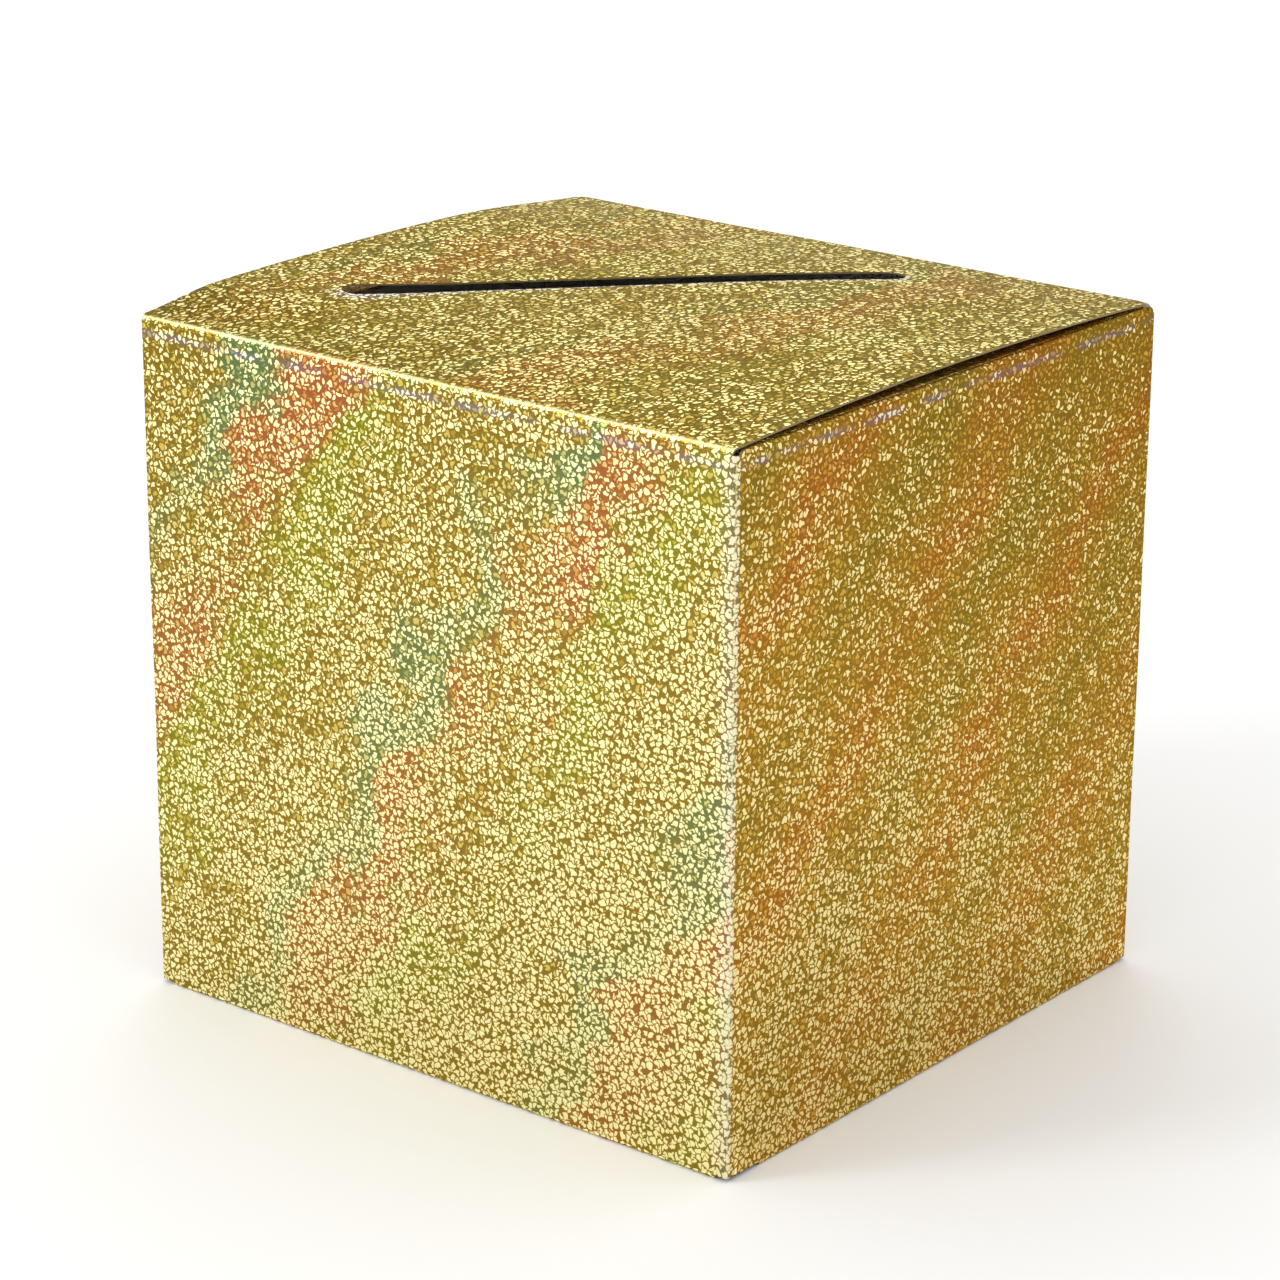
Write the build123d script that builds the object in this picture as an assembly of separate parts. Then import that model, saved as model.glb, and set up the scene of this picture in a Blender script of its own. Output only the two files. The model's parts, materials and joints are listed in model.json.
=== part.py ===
"""Wedding card box: a folding carton of foil-laminated board with a hinged lid and a card slot.

The real carton is one die-cut blank. Each wall, flap and fold is a solid of its own here, because
every flap swings about its own crease. The origin is on the floor under the middle of the box, +Z
is up, the front wall, which carries the lid's hinge, faces -Y, and lengths are in millimetres.
The pieces of the left side are drawn, and the right side's are their mirror images.
"""
from build123d import *

import math
import os

# Outer size of the folded box
WIDTH = 237.0
DEPTH = 220.0
HEIGHT = 228.0

# The board and its folds
BOARD = 0.6
FOLD_RADIUS = 1.5
BASE_FOLD_RADIUS = 1.2
CREASE_RADIUS = 0.85
CREASE_GAP = 0.15
WALL_CORNER_RADIUS = 2.5

# The lid, which bows up between its hinge and its tuck fold
LID_BOW = 3.0
LID_SIDE_GAP = 0.8
LID_BACK_GAP = 1.2
LID_UNDERSIDE_GAP = 0.4
LID_CORNER_RADIUS = 4.0

# The slot that the cards go through, cut slantwise across the lid
SLOT_LENGTH = 184.0
SLOT_WIDTH = 11.0
SLOT_CENTRE = (-21.0, 13.0)
SLOT_ANGLE = 48.0

# The tuck flap on the lid's free edge
TUCK_DEPTH = 26.0
TUCK_INSET = 5.0
TUCK_LEAN = 5.0
TUCK_CORNER_RADIUS = 14.0

# The dust flaps under the lid, short enough to leave the slot clear
DUST_REACH = 32.0
DUST_INSET = 4.0
DUST_FRONT_TAPER = 28.0
DUST_BACK_TAPER = 6.0
DUST_CORNER_RADIUS = 8.0

# The glued seam in the back left corner
GLUE_FILM = 0.1
GLUE_FLAP_WIDTH = 22.0
GLUE_FLAP_END_GAP = 8.0
GLUE_FLAP_TAPER = 15.0
GLUE_MARGIN = 2.0

# The interlocking bottom: four flaps in layers, each ramped up to its own layer
LAYER_GAP = 0.15
LAYER_RAMP = 8.0
FLAP_TAPER = 12.0
FLAP_CORNER_RADIUS = 9.0
FRONT_FLAP_REACH = 132.0
FRONT_FLAP_INSET = 5.0
RECESS_REACH = 90.0
RECESS_SIDE_GAP = 4.0
SIDE_FLAP_REACH = 68.0
SIDE_FLAP_FRONT_INSET = 16.0
SIDE_FLAP_BACK_INSET = 5.0
BACK_FLAP_REACH = 112.0
BACK_FLAP_INSET = 10.0
TONGUE_WIDTH = 84.0
TONGUE_RAMP = 14.0
TONGUE_REACH = 44.0
TONGUE_CORNER_RADIUS = 10.0

# Worked out from the sizes above
HALF_WIDTH = WIDTH / 2
HALF_DEPTH = DEPTH / 2
SIDE_WALL_TOP = HEIGHT - BOARD - LID_UNDERSIDE_GAP
UPRIGHT_FOLD_TOP = SIDE_WALL_TOP - WALL_CORNER_RADIUS
GLUE_FLAP_X = -HALF_WIDTH + BOARD + GLUE_FILM
GLUE_FLAP_ROOT = HALF_DEPTH - FOLD_RADIUS
GLUE_FLAP_RISE = GLUE_FLAP_WIDTH * math.tan(math.radians(GLUE_FLAP_TAPER))
TUCK_FOLD_Y = HALF_DEPTH - LID_BACK_GAP
LID_CHORD = TUCK_FOLD_Y + HALF_DEPTH
LID_BOW_RADIUS = (LID_CHORD**2 / 4 + LID_BOW**2) / (2 * LID_BOW)
LID_END_SLOPE = math.degrees(math.asin(LID_CHORD / 2 / LID_BOW_RADIUS))
LAYER_STEP = BOARD + LAYER_GAP
CUTTER_LENGTH = 2 * WIDTH


# ---- shared shapes ---------------------------------------------------------------------------


def block(low, high):
    """A box between two corners."""
    size = [b - a for a, b in zip(low, high)]
    return Pos(*low) * Box(*size, align=(Align.MIN, Align.MIN, Align.MIN))


def rod_along_x(radius, y, z):
    """A long cylinder about the line along X at y, z."""
    return Pos(0, y, z) * Rot(0, 90, 0) * Cylinder(radius, CUTTER_LENGTH)


def rod_along_y(radius, x, z):
    """A long cylinder about the line along Y at x, z."""
    return Pos(x, 0, z) * Rot(90, 0, 0) * Cylinder(radius, CUTTER_LENGTH)


def extrude_along_x(section, low, high, y=0.0, z=0.0):
    """A section drawn as (y, z) from the given point, made solid from x = low to x = high."""
    plane = Plane(origin=(low, y, z), x_dir=(0, 1, 0), z_dir=(1, 0, 0))
    return extrude(plane * section, high - low)


def extrude_along_y(section, low, high, x=0.0, z=0.0):
    """A section drawn as (x, z) from the given point, made solid from y = low to y = high."""
    plane = Plane(origin=(x, high, z), x_dir=(1, 0, 0), z_dir=(0, -1, 0))
    return extrude(plane * section, high - low)


def extrude_along_z(section, low, high):
    """A section drawn as (x, y), made solid from z = low to z = high."""
    return extrude(Pos(0, 0, low) * section, high - low)


def sector(radius, start, end):
    """A pie slice about the origin between two angles in degrees."""
    angles = (start, (start + end) / 2, end)
    rim = [Vector(radius, 0).rotate(Axis.Z, angle) for angle in angles]
    return make_face(Line((0, 0), rim[0]) + ThreePointArc(*rim) + Line(rim[2], (0, 0)))


def bend(radius, start, end):
    """A bend one board thick about the origin, between two angles in degrees."""
    return sector(radius, start, end) - sector(radius - BOARD, start, end)


def outline(*corners):
    """A face whose corners are given as (x, y) or, if rounded, as (x, y, radius)."""
    face = make_face(Polyline(*[corner[:2] for corner in corners], close=True))
    for x, y, radius in [corner for corner in corners if len(corner) == 3]:
        nearest = face.vertices().sort_by_distance((x, y, 0))[0]
        face = fillet(nearest, radius)
    return face


def mirrored(shape):
    """The right side's piece, from the left side's."""
    return mirror(shape, Plane.YZ)


# ---- walls, upright folds and the glued seam -------------------------------------------------


def wall_front():
    """The front wall, hollowed along its top edge for the lid's crease."""
    panel = block(
        (-HALF_WIDTH + FOLD_RADIUS, -HALF_DEPTH, BASE_FOLD_RADIUS),
        (HALF_WIDTH - FOLD_RADIUS, -HALF_DEPTH + BOARD, HEIGHT),
    )
    return panel - rod_along_x(CREASE_RADIUS, -HALF_DEPTH, HEIGHT)


def wall_back():
    """The back wall, whose top is a raw edge that the tuck flap slides behind."""
    return block(
        (GLUE_FLAP_X + FOLD_RADIUS, HALF_DEPTH - BOARD, BASE_FOLD_RADIUS),
        (HALF_WIDTH - FOLD_RADIUS, HALF_DEPTH, SIDE_WALL_TOP),
    )


def wall_left(back_end=HALF_DEPTH):
    """The left wall, which runs on past the seam to a raw edge flush with the back wall."""
    front_end = -HALF_DEPTH + FOLD_RADIUS
    face = outline(
        (front_end, BASE_FOLD_RADIUS),
        (back_end, BASE_FOLD_RADIUS),
        (back_end, SIDE_WALL_TOP, WALL_CORNER_RADIUS),
        (front_end, SIDE_WALL_TOP, WALL_CORNER_RADIUS),
    )
    panel = extrude_along_x(face, -HALF_WIDTH, -HALF_WIDTH + BOARD)
    crease_end = HALF_DEPTH - DUST_INSET
    hollow = extrude_along_y(Circle(CREASE_RADIUS), -crease_end, crease_end, -HALF_WIDTH, SIDE_WALL_TOP)
    return panel - hollow


def wall_right():
    """The right wall, which meets the back wall in a fold."""
    return mirrored(wall_left(HALF_DEPTH - FOLD_RADIUS))


def upright_fold(x, y, start):
    """A quarter-turn fold between two walls, bent about the upright line at x, y."""
    section = bend(FOLD_RADIUS, start, start + 90)
    return Pos(x, y, 0) * extrude_along_z(section, BASE_FOLD_RADIUS, UPRIGHT_FOLD_TOP)


def glue_flap():
    """The strip inside the left wall that joins the blank into a tube."""
    low = GLUE_FLAP_END_GAP
    high = SIDE_WALL_TOP - GLUE_FLAP_END_GAP
    tip = GLUE_FLAP_ROOT - GLUE_FLAP_WIDTH
    face = outline(
        (GLUE_FLAP_ROOT, low),
        (GLUE_FLAP_ROOT, high),
        (tip, high - GLUE_FLAP_RISE),
        (tip, low + GLUE_FLAP_RISE),
    )
    return extrude_along_x(face, GLUE_FLAP_X, GLUE_FLAP_X + BOARD)


def seam_glue():
    """The film of glue between the glue flap and the left wall."""
    end_gap = GLUE_FLAP_END_GAP + GLUE_FLAP_RISE + GLUE_MARGIN
    return block(
        (-HALF_WIDTH + BOARD, GLUE_FLAP_ROOT - GLUE_FLAP_WIDTH + GLUE_MARGIN, end_gap),
        (GLUE_FLAP_X, GLUE_FLAP_ROOT - GLUE_MARGIN, SIDE_WALL_TOP - end_gap),
    )


# ---- lid, tuck flap and dust flaps -----------------------------------------------------------


def lid_panel():
    """The bowed lid, with its slanting slot and rounded back corners."""
    middle_y = LID_CHORD / 2 - HALF_DEPTH
    centre_z = HEIGHT + LID_BOW - LID_BOW_RADIUS
    shell = rod_along_x(LID_BOW_RADIUS, middle_y, centre_z)
    shell -= rod_along_x(LID_BOW_RADIUS - BOARD, middle_y, centre_z)
    half = HALF_WIDTH - LID_SIDE_GAP
    plan = outline(
        (-half, -HALF_DEPTH),
        (half, -HALF_DEPTH),
        (half, TUCK_FOLD_Y, LID_CORNER_RADIUS),
        (-half, TUCK_FOLD_Y, LID_CORNER_RADIUS),
    )
    plan -= Pos(*SLOT_CENTRE) * Rot(0, 0, SLOT_ANGLE) * SlotOverall(SLOT_LENGTH, SLOT_WIDTH)
    panel = shell & extrude_along_z(plan, HEIGHT - LID_BOW, HEIGHT + 2 * LID_BOW)
    for fold_y in (-HALF_DEPTH, TUCK_FOLD_Y):
        panel -= rod_along_x(CREASE_RADIUS + CREASE_GAP, fold_y, HEIGHT)
    return panel


def lid_crease():
    """The pressed bead along the front wall's top, round about the line that the lid turns on."""
    bead = sector(CREASE_RADIUS, -90, LID_END_SLOPE)
    half = HALF_WIDTH - FOLD_RADIUS
    return extrude_along_x(bead, -half, half, -HALF_DEPTH, HEIGHT)


def tuck_flap():
    """The flap that tucks behind the back wall, leaning in towards its tip."""
    half = HALF_WIDTH - TUCK_INSET
    face = outline(
        (-half, 0),
        (half, 0),
        (half, -TUCK_DEPTH, TUCK_CORNER_RADIUS),
        (-half, -TUCK_DEPTH, TUCK_CORNER_RADIUS),
    )
    hanging = extrude(Plane.XZ * face, BOARD)
    flap = Pos(0, TUCK_FOLD_Y, HEIGHT) * Rot(-TUCK_LEAN, 0, 0) * hanging
    return flap - rod_along_x(CREASE_RADIUS + CREASE_GAP, TUCK_FOLD_Y, HEIGHT)


def tuck_crease():
    """The pressed bead between the lid and the tuck flap."""
    bead = sector(CREASE_RADIUS, 180 - LID_END_SLOPE, 270 - TUCK_LEAN)
    half = HALF_WIDTH - TUCK_INSET
    return extrude_along_x(bead, -half, half, TUCK_FOLD_Y, HEIGHT)


def dust_flap_left():
    """The left dust flap, tapered so that the lid stays clear of it as both swing up."""
    front = -HALF_DEPTH + DUST_INSET
    back = HALF_DEPTH - DUST_INSET
    tip = -HALF_WIDTH + DUST_REACH
    front_cut = DUST_REACH * math.tan(math.radians(DUST_FRONT_TAPER))
    back_cut = DUST_REACH * math.tan(math.radians(DUST_BACK_TAPER))
    plan = outline(
        (-HALF_WIDTH, front),
        (tip, front + front_cut, DUST_CORNER_RADIUS),
        (tip, back - back_cut, DUST_CORNER_RADIUS),
        (-HALF_WIDTH, back),
    )
    flap = extrude_along_z(plan, SIDE_WALL_TOP - BOARD, SIDE_WALL_TOP)
    return flap - rod_along_y(CREASE_RADIUS + CREASE_GAP, -HALF_WIDTH, SIDE_WALL_TOP)


def dust_crease_left():
    """The pressed bead along the left wall's top."""
    bead = sector(CREASE_RADIUS, -90, 0)
    end = HALF_DEPTH - DUST_INSET
    return extrude_along_y(bead, -end, end, -HALF_WIDTH, SIDE_WALL_TOP)


# ---- interlocking bottom ---------------------------------------------------------------------


def ramped(ramp, rise, run):
    """A board section that climbs over the length of its ramp, then runs level."""
    under = [(0, 0), (ramp, rise), (run, rise)]
    over = [(run, rise + BOARD), (ramp, rise + BOARD), (0, BOARD)]
    return make_face(Polyline(*under, *over, close=True))


def bottom_flap_front():
    """The broad inner flap, with a recess that the back flap's tongue hooks into."""
    start = -HALF_DEPTH + BASE_FOLD_RADIUS
    section = ramped(LAYER_RAMP, 2 * LAYER_STEP, FRONT_FLAP_REACH - BASE_FOLD_RADIUS)
    strip = extrude_along_x(section, -HALF_WIDTH, HALF_WIDTH, start)
    root = HALF_WIDTH - FRONT_FLAP_INSET
    tip = root - FRONT_FLAP_REACH * math.tan(math.radians(FLAP_TAPER))
    far = -HALF_DEPTH + FRONT_FLAP_REACH
    recess = TONGUE_WIDTH / 2 + RECESS_SIDE_GAP
    recess_edge = -HALF_DEPTH + RECESS_REACH
    plan = outline(
        (-root, start),
        (root, start),
        (tip, far, FLAP_CORNER_RADIUS),
        (recess, far, FLAP_CORNER_RADIUS),
        (recess, recess_edge, FLAP_CORNER_RADIUS),
        (-recess, recess_edge, FLAP_CORNER_RADIUS),
        (-recess, far, FLAP_CORNER_RADIUS),
        (-tip, far, FLAP_CORNER_RADIUS),
    )
    return strip & extrude_along_z(plan, 0, HEIGHT)


def bottom_flap_left():
    """A middle flap, which lies between the front and back flaps."""
    start = -HALF_WIDTH + BASE_FOLD_RADIUS
    section = ramped(LAYER_RAMP, LAYER_STEP, SIDE_FLAP_REACH - BASE_FOLD_RADIUS)
    strip = extrude_along_y(section, -HALF_DEPTH, HALF_DEPTH, start)
    front = -HALF_DEPTH + SIDE_FLAP_FRONT_INSET
    back = HALF_DEPTH - SIDE_FLAP_BACK_INSET
    tip = -HALF_WIDTH + SIDE_FLAP_REACH
    cut = SIDE_FLAP_REACH * math.tan(math.radians(FLAP_TAPER))
    plan = outline(
        (start, front),
        (tip, front + cut, FLAP_CORNER_RADIUS),
        (tip, back - cut, FLAP_CORNER_RADIUS),
        (start, back),
    )
    return strip & extrude_along_z(plan, 0, HEIGHT)


def bottom_flap_back():
    """The outer flap, whose tongue rises through the recess and lies on the front flap."""
    start = HALF_DEPTH - BASE_FOLD_RADIUS
    far = HALF_DEPTH - BACK_FLAP_REACH
    root = HALF_WIDTH - BACK_FLAP_INSET
    tip = root - BACK_FLAP_REACH * math.tan(math.radians(FLAP_TAPER))
    plan = outline(
        (root, start),
        (-root, start),
        (-tip, far, FLAP_CORNER_RADIUS),
        (tip, far, FLAP_CORNER_RADIUS),
    )
    half = TONGUE_WIDTH / 2
    end = far - TONGUE_REACH
    tongue_plan = outline(
        (half, far),
        (-half, far),
        (-half, end, TONGUE_CORNER_RADIUS),
        (half, end, TONGUE_CORNER_RADIUS),
    )
    section = mirror(ramped(TONGUE_RAMP, 3 * LAYER_STEP, TONGUE_REACH), Plane.YZ)
    tongue = extrude_along_x(section, -half, half, far) & extrude_along_z(tongue_plan, 0, HEIGHT)
    return extrude_along_z(plan, 0, BOARD) + tongue


def base_fold_front():
    """The fold between the front wall and its bottom flap."""
    section = bend(BASE_FOLD_RADIUS, 180, 270)
    half = HALF_WIDTH - FRONT_FLAP_INSET
    return extrude_along_x(section, -half, half, -HALF_DEPTH + BASE_FOLD_RADIUS, BASE_FOLD_RADIUS)


def base_fold_back():
    """The fold between the back wall and its bottom flap."""
    section = bend(BASE_FOLD_RADIUS, 270, 360)
    half = HALF_WIDTH - BACK_FLAP_INSET
    return extrude_along_x(section, -half, half, HALF_DEPTH - BASE_FOLD_RADIUS, BASE_FOLD_RADIUS)


def base_fold_left():
    """The fold between the left wall and its bottom flap."""
    section = bend(BASE_FOLD_RADIUS, 180, 270)
    low = -HALF_DEPTH + SIDE_FLAP_FRONT_INSET
    high = HALF_DEPTH - SIDE_FLAP_BACK_INSET
    return extrude_along_y(section, low, high, -HALF_WIDTH + BASE_FOLD_RADIUS, BASE_FOLD_RADIUS)


# ---- the whole carton ------------------------------------------------------------------------


def carton():
    """Every piece of the carton, by name."""
    fold_x = HALF_WIDTH - FOLD_RADIUS
    fold_y = HALF_DEPTH - FOLD_RADIUS
    return {
        "wall_front": wall_front(),
        "wall_back": wall_back(),
        "wall_left": wall_left(),
        "wall_right": wall_right(),
        "fold_front_left": upright_fold(-fold_x, -fold_y, 180),
        "fold_front_right": upright_fold(fold_x, -fold_y, 270),
        "fold_back_right": upright_fold(fold_x, fold_y, 0),
        "fold_back_left": upright_fold(GLUE_FLAP_X + FOLD_RADIUS, fold_y, 90),
        "glue_flap": glue_flap(),
        "seam_glue": seam_glue(),
        "lid_panel": lid_panel(),
        "lid_crease": lid_crease(),
        "tuck_flap": tuck_flap(),
        "tuck_crease": tuck_crease(),
        "dust_flap_left": dust_flap_left(),
        "dust_flap_right": mirrored(dust_flap_left()),
        "dust_crease_left": dust_crease_left(),
        "dust_crease_right": mirrored(dust_crease_left()),
        "bottom_flap_front": bottom_flap_front(),
        "bottom_flap_left": bottom_flap_left(),
        "bottom_flap_right": mirrored(bottom_flap_left()),
        "bottom_flap_back": bottom_flap_back(),
        "base_fold_front": base_fold_front(),
        "base_fold_back": base_fold_back(),
        "base_fold_left": base_fold_left(),
        "base_fold_right": mirrored(base_fold_left()),
    }


os.makedirs("parts", exist_ok=True)
for name, shape in carton().items():
    export_step(shape, f"parts/{name}.step")
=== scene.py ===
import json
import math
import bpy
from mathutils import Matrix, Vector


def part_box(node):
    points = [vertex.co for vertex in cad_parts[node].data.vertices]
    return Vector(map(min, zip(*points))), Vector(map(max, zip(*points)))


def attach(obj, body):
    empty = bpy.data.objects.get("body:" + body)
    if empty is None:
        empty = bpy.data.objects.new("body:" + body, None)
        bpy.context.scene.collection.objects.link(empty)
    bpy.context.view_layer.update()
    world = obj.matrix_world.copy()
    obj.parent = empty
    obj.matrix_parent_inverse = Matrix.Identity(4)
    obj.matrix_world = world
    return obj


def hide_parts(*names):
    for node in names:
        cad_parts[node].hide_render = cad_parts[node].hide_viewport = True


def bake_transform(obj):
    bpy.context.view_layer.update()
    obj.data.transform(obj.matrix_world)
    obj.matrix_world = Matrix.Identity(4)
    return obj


bl_info = {
    "name": "Wedding card box",
    "version": (1, 0, 0),
    "blender": (4, 5, 0),
    "location": "3D View > Sidebar > Card Box",
    "description": "Finishes a packed card box carton in glitter foil board, with its stage",
    "category": "Object",
}

import bpy
import numpy as np
from bpy.props import FloatProperty, FloatVectorProperty, PointerProperty
from mathutils import Matrix

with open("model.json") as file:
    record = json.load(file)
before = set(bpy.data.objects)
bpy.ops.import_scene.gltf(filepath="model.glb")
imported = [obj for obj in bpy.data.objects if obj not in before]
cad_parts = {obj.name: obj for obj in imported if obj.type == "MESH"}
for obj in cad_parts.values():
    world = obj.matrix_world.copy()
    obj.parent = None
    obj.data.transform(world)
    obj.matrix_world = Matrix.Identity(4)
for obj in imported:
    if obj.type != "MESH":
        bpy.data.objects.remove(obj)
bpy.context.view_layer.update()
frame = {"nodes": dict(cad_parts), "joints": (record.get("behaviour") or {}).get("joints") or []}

MM = 0.001

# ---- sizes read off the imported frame, in metres ----------------------------------------------

WALL_LOW, WALL_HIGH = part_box("wall_front")
SIDE_LOW, SIDE_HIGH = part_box("wall_right")
GLUE_LOW, GLUE_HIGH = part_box("glue_flap")
LID_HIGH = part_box("lid_panel")[1]
TUCK_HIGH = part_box("tuck_flap")[1]
DUST_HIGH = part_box("dust_flap_left")[1]
DUST_BEAD_LOW, DUST_BEAD_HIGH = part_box("dust_crease_left")
FRONT_FLAP_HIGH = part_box("bottom_flap_front")[1]
SIDE_FLAP_LOW, SIDE_FLAP_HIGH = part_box("bottom_flap_left")
BACK_FLAP_LOW, BACK_FLAP_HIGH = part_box("bottom_flap_back")

HALF_WIDTH = SIDE_HIGH[0]
HALF_DEPTH = -WALL_LOW[1]
SIDE_TOP = SIDE_HIGH[2]
BOARD = SIDE_HIGH[0] - SIDE_LOW[0]
FOLD_RADIUS = HALF_WIDTH - WALL_HIGH[0]
BASE_RADIUS = WALL_LOW[2]
HINGE_Z = frame["joints"][0]["pos_m"][2]
TUCK_FOLD_Y = frame["joints"][1]["pos_m"][1]
LID_CHORD = TUCK_FOLD_Y + HALF_DEPTH
LID_BOW = LID_HIGH[2] - HINGE_Z


# ---- what a user may change ------------------------------------------------------------------


def linear(hex_colour):
    """An sRGB colour such as "#B8901E" as linear red, green, blue and an alpha of 1."""
    srgb = [int(hex_colour[i : i + 2], 16) / 255 for i in (1, 3, 5)]
    return (*[c / 12.92 if c <= 0.04045 else ((c + 0.055) / 1.055) ** 2.4 for c in srgb], 1.0)


def length(name, millimetres, description):
    return FloatProperty(
        name=name, description=description, default=millimetres * MM, subtype="DISTANCE", unit="LENGTH"
    )


def colour(name, hex_colour, description):
    return FloatVectorProperty(
        name=name, description=description, default=linear(hex_colour), size=4, subtype="COLOR"
    )


class CardBoxSizes(bpy.types.PropertyGroup):
    """Sizes of the board, the folds, the slot and the foil's pattern."""

    crease_reach: length("Crease reach", 1.7, "How far a fold's rounding reaches along each face")
    bulge: length("Wall bulge", 0.7, "How far the middle of a wall stands out from its folds")
    ripple: length("Ripple", 0.22, "Height of the long gentle waves in the board")
    curl: length("Lid curl", 2.3, "How far the lid's left edge stands off its arch")
    grid: length("Grid", 2.2, "Spacing of a panel's mesh")
    slot_length: length("Slot length", 184, "Length of the card slot, over its round ends")
    slot_width: length("Slot width", 11, "Width of the card slot")
    lip_reach: length("Lip reach", 1.6, "How far from the slot its pressed lip starts")
    lip_drop: length("Lip drop", 0.1, "How far the slot's lip is pressed down")
    pebble: length("Pebble", 2.15, "Spacing of the foil's pebbles")


class CardBoxColours(bpy.types.PropertyGroup):
    """Colours of the foil, the board, the glue and the floor."""

    # Painted light: ground, gilt and cream are the foil's colours square on to the light, and umber, honey,
    # straw, amber and olive are their painted shaded copies for a panel turned from the light; cream and
    # straw at the tops of bright pebbles are painted highlights
    ground: colour("Ground", "#A88D38", "The gold between the pebbles, square on to the light")
    gilt: colour("Gilt", "#E9D46E", "A dull pebble, and the rim of a bright one")
    cream: colour("Cream", "#FFF8BC", "The top of a bright pebble")
    straw: colour("Straw", "#FFF0AC", "The top of a bright pebble, turned from the light")
    ember: colour("Ember", "#C8784A", "The orange of the rainbow bands")
    leaf: colour("Leaf", "#A0A232", "The yellow-green of the rainbow bands")
    sea: colour("Sea", "#7A9866", "The teal of the rainbow bands")
    umber: colour("Umber", "#B88C32", "The gold between the pebbles, turned from the light")
    honey: colour("Honey", "#E9BC52", "A dull pebble, turned from the light")
    amber: colour("Amber", "#C67632", "The broad orange bands, turned from the light")
    olive: colour("Olive", "#9C8832", "The broad olive bands, turned from the light")
    # Painted reflection: lilac and frost are the violet that the bent film throws back, on the joints and on
    # the pebbles
    lilac: colour("Lilac", "#9C94B4", "The joints where the film is stretched")
    frost: colour("Frost", "#E8E4F4", "The pebbles where the film is stretched")
    edge: colour("Edge tint", "#F0E8BE", "The foil's tint where it is seen at a flat angle")
    board: colour("Board", "#E2DDD0", "The coated white inside of the board")
    core: colour("Core", "#8F7C54", "The cut edge of the board")
    glue: colour("Glue", "#E4DCC0", "Dried glue in the seam")
    floor: colour("Floor", "#F4F4F4", "The studio floor")


# ---- shapes ----------------------------------------------------------------------------------

# Outer path of the four walls, seen from above: the centre and the turn of each upright fold,
# from the left wall's raw edge round to the tip of the glue flap.
PATH_RADIUS = FOLD_RADIUS
CORNER_X = HALF_WIDTH - PATH_RADIUS
CORNER_Y = HALF_DEPTH - PATH_RADIUS
GLUE_CORNER_X = GLUE_LOW[0] + PATH_RADIUS
QUARTER = PATH_RADIUS * math.pi / 2
RUNS = (
    HALF_DEPTH + CORNER_Y,
    QUARTER,
    2 * CORNER_X,
    QUARTER,
    2 * CORNER_Y,
    QUARTER,
    CORNER_X - GLUE_CORNER_X,
    QUARTER,
    CORNER_Y - GLUE_LOW[1],
)
STATIONS = np.concatenate([[0.0], np.cumsum(RUNS)]) - RUNS[0] - QUARTER - CORNER_X
PATH_X = (*[-CORNER_X] * 3, *[CORNER_X] * 4, *[GLUE_CORNER_X] * 3)
PATH_Y = (HALF_DEPTH, *[-CORNER_Y] * 4, *[CORNER_Y] * 4, GLUE_LOW[1])
PATH_TURN = np.radians((180, 180, 270, 270, 360, 360, 450, 450, 540, 540))
FOLD_STATIONS = (STATIONS[1:9:2] + STATIONS[2:10:2]) / 2
BACK_EAR = SIDE_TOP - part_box("fold_back_right")[1][2]

# Shapes that the frame's boxes don't tell, as the carton is cut
RIPPLE_WAVES = ((170 * MM, 0.4, 0.9), (95 * MM, 1.9, 2.2), (53 * MM, 2.8, 0.6))
ARCH_POWER = 2.3
CURL_REACH = 60.0 * MM
CURL_RISE = 0.16
CURL_FALL = 0.30
FRONT_EAR = 1.0 * MM
SLOT_CENTRE = np.array([-21.0, 13.0]) * MM
SLOT_TURN = math.radians(48.0)
LID_CORNER = 4.0 * MM
GLUE_TAPER = 15.0
TUCK_DEPTH = 26.0 * MM
TUCK_LEAN = 5.0
TUCK_CORNER = 14.0 * MM
DUST_FRONT_TAPER = 28.0
DUST_BACK_TAPER = 6.0
DUST_CORNER = 8.0 * MM
FLAP_TAPER = 12.0
FLAP_CORNER = 9.0 * MM
LAYER_RAMP = 8.0 * MM
RECESS_HALF = 46.0 * MM
RECESS_REACH = 90.0 * MM
BACK_FLAP_REACH = 112.0 * MM
TONGUE_HALF = 42.0 * MM
TONGUE_RAMP = 14.0 * MM

# Meshes
END_STEPS = np.array([0.3, 0.8, 1.5, 2.5, 4.0]) * MM
END_ZONE = 5 * MM
CREASE_ROWS = 15
LID_ROWS = 40
LID_CORNER_COLUMNS = 9
LIP_STEPS = np.array([0, 0.15, 0.4, 0.7, 1.1, 1.6, 2.2, 3.0, 4.2, 6.0])[:, None] * MM
RIM_STEPS = np.array([4.0, 2.2, 1.0, 0.4, 0.0])[:, None] * MM
NOTCH_CUT = 0.02 * MM
CORNER_STEPS = np.array([0.03, 0.12, 0.25, 0.42, 0.62, 0.82, 1.0])

# Painted light on the bent film: a painted highlight on the lid's crease, and a violet painted reflection
# along a faint score line under the top, beside the front-right fold and on the slot's near lip, whose
# painted sheen reaches further at the left end than at the right. FAR stands for a place with no painted
# highlight near it.
FAR = 50.0 * MM
# Painted highlight: how much fainter the front-right fold's painted highlight is than the crease's
UPRIGHT_HIGHLIGHT_OFFSET = 0.5 * MM
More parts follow.
